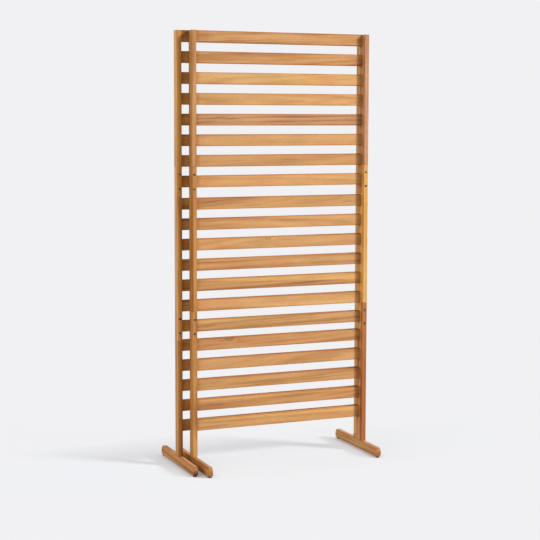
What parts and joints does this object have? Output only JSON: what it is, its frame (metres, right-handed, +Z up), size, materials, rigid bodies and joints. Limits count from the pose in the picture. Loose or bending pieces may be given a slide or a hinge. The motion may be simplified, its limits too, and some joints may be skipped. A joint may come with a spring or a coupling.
{
  "type": "extending slatted screen",
  "caption": "Free-standing slatted wooden screen: a ladder-like front frame on cross feet, with a matching back frame that slides out sideways behind it on its own foot.",
  "frame": {"origin": "middle of the closed screen's bounding box, on the floor", "axes": "+Z up; +X along the screen, towards the end where the two frames' posts stand one behind the other; -Y towards the viewer, the side of the front frame"},
  "size_m": [0.8544, 0.45, 1.8],
  "materials": {
    "wood_golden": "oiled, satin, open grain along the board",
    "wood_reddish": "oiled, satin, open grain along the board",
    "wood_pale": "oiled, satin, open grain along the board",
    "black_nylon": "moulded black nylon, matt",
    "fastener_steel": "plain steel, satin"
  },
  "bodies": {
    "front_frame": {"front_left_post_top": "wood_reddish", "front_left_post_middle": "wood_pale", "front_left_post_bottom": "wood_golden", "front_right_post_top": "wood_reddish", "front_right_post_middle": "wood_pale", "front_right_post_bottom": "wood_golden", "front_slat_01": "wood_golden", "front_slat_02": "wood_pale", "front_slat_03": "wood_reddish", "front_slat_04": "wood_golden", "front_slat_05": "wood_pale", "front_slat_06": "wood_reddish", "front_slat_07": "wood_golden", "front_slat_08": "wood_pale", "front_slat_09": "wood_reddish", "front_slat_10": "wood_golden", "front_slat_11": "wood_pale", "front_slat_12": "wood_reddish", "front_slat_13": "wood_golden", "front_slat_14": "wood_pale", "front_slat_15": "wood_reddish", "front_slat_16": "wood_golden", "front_slat_17": "wood_pale", "front_slat_18": "wood_reddish", "front_slat_19": "wood_golden", "front_slat_20": "wood_pale", "front_left_foot": "wood_golden", "front_right_foot": "wood_pale", "rest_block": "wood_golden", "front_nylon_parts": "black_nylon", "front_bolts_and_screws": "fastener_steel"},
    "back_frame": {"back_left_post_top": "wood_reddish", "back_left_post_middle": "wood_pale", "back_left_post_bottom": "wood_golden", "back_right_post_top": "wood_reddish", "back_right_post_middle": "wood_pale", "back_right_post_bottom": "wood_golden", "back_slat_01": "wood_reddish", "back_slat_02": "wood_golden", "back_slat_03": "wood_pale", "back_slat_04": "wood_reddish", "back_slat_05": "wood_golden", "back_slat_06": "wood_pale", "back_slat_07": "wood_reddish", "back_slat_08": "wood_golden", "back_slat_09": "wood_pale", "back_slat_10": "wood_reddish", "back_slat_11": "wood_golden", "back_slat_12": "wood_pale", "back_slat_13": "wood_reddish", "back_slat_14": "wood_golden", "back_slat_15": "wood_pale", "back_slat_16": "wood_reddish", "back_slat_17": "wood_golden", "back_slat_18": "wood_pale", "back_slat_19": "wood_reddish", "back_slat_20": "wood_golden", "back_left_foot": "wood_reddish", "back_nylon_parts": "black_nylon", "back_bolts_and_screws": "fastener_steel"}
  },
  "joints": [
    {"name": "back_frame_slide", "type": "slide", "parent": "front_frame", "child": "back_frame", "axis": [-1, 0, 0], "range_m": [0, 0.75]}
  ]
}
